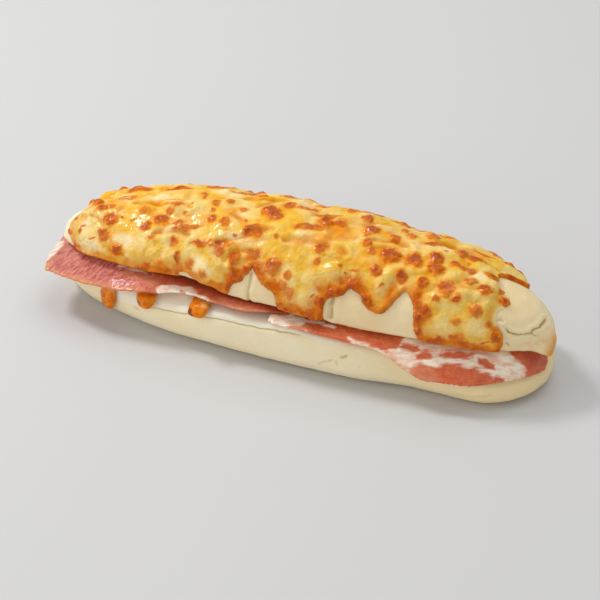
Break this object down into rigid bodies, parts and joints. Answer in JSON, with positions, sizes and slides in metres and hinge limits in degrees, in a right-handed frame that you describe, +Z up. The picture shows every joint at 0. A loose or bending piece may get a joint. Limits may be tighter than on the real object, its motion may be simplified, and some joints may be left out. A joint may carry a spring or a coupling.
{
  "type": "bacon cheese panini",
  "caption": "Long soft roll split lengthwise and filled with bacon, its crown baked under a skin of browned melted cheese.",
  "frame": {"origin": "middle of the roll's box in plan, at the height of the flat base it rests on", "axes": "+X along the roll, -Y towards the open side of the split where the bacon shows, +Z up"},
  "size_m": [0.2098, 0.0656, 0.0532],
  "materials": {
    "bread": "soft matte pale crust and white crumb",
    "bacon": "moist pink lean with white marbling and fat",
    "browned_cheese": "oily pale yellow cheese with orange-brown blisters",
    "melted_cheese": "amber melted cheese"
  },
  "bodies": {
    "root": {"bun_bottom": "bread", "bun_top": "bread", "cheese_topping": "browned_cheese", "cheese_filling": "melted_cheese", "bacon_left": "bacon", "bacon_right": "bacon"}
  },
  "joints": []
}
